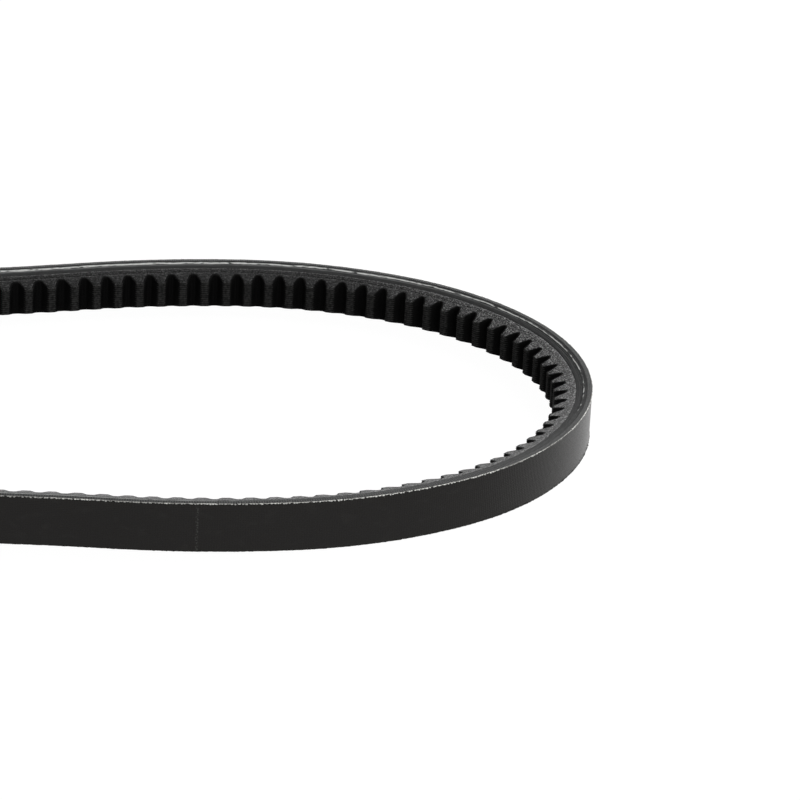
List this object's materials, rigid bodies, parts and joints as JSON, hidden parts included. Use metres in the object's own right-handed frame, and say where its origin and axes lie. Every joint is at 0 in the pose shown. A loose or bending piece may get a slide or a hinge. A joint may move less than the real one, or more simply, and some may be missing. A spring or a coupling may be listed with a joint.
{
  "type": "v belt",
  "caption": "Endless raw-edge cogged V-belt standing on edge in a waisted oval: fabric back, wound polyester cord and fibre-loaded rubber with moulded cogs inside.",
  "frame": {"origin": "middle of the loop, at the middle of the belt's width", "axes": "+X along the long way of the loop, +Y across it, +Z across the belt's width, square to the plane that the pulleys turn in"},
  "size_m": [0.416, 0.1546, 0.013],
  "materials": {
    "back_fabric": "rubberised woven cotton-polyester, matt black",
    "smooth_rubber": "black rubber, cut face",
    "cord_gum": "black bonding rubber, cut face",
    "polyester_cord": "off-white polyester yarn, cut lengthwise at the flanks",
    "fibre_rubber": "dark grey rubber with short cross-laid fibres, ground face",
    "facing_fabric": "ribbed rubberised knit, black"
  },
  "bodies": {
    "root": {"back_fabric_outer_ply": "back_fabric", "back_fabric_middle_ply": "back_fabric", "back_fabric_inner_ply": "back_fabric", "overcord_rubber": "smooth_rubber", "cord_gum_upper": "cord_gum", "cord_gum_lower": "cord_gum", "tensile_cord_s_twist": "polyester_cord", "tensile_cord_z_twist": "polyester_cord", "undercord_upper_sheet": "smooth_rubber", "undercord_lower_sheet": "fibre_rubber", "cog_rubber": "fibre_rubber", "cog_facing_fabric": "facing_fabric"}
  },
  "joints": []
}
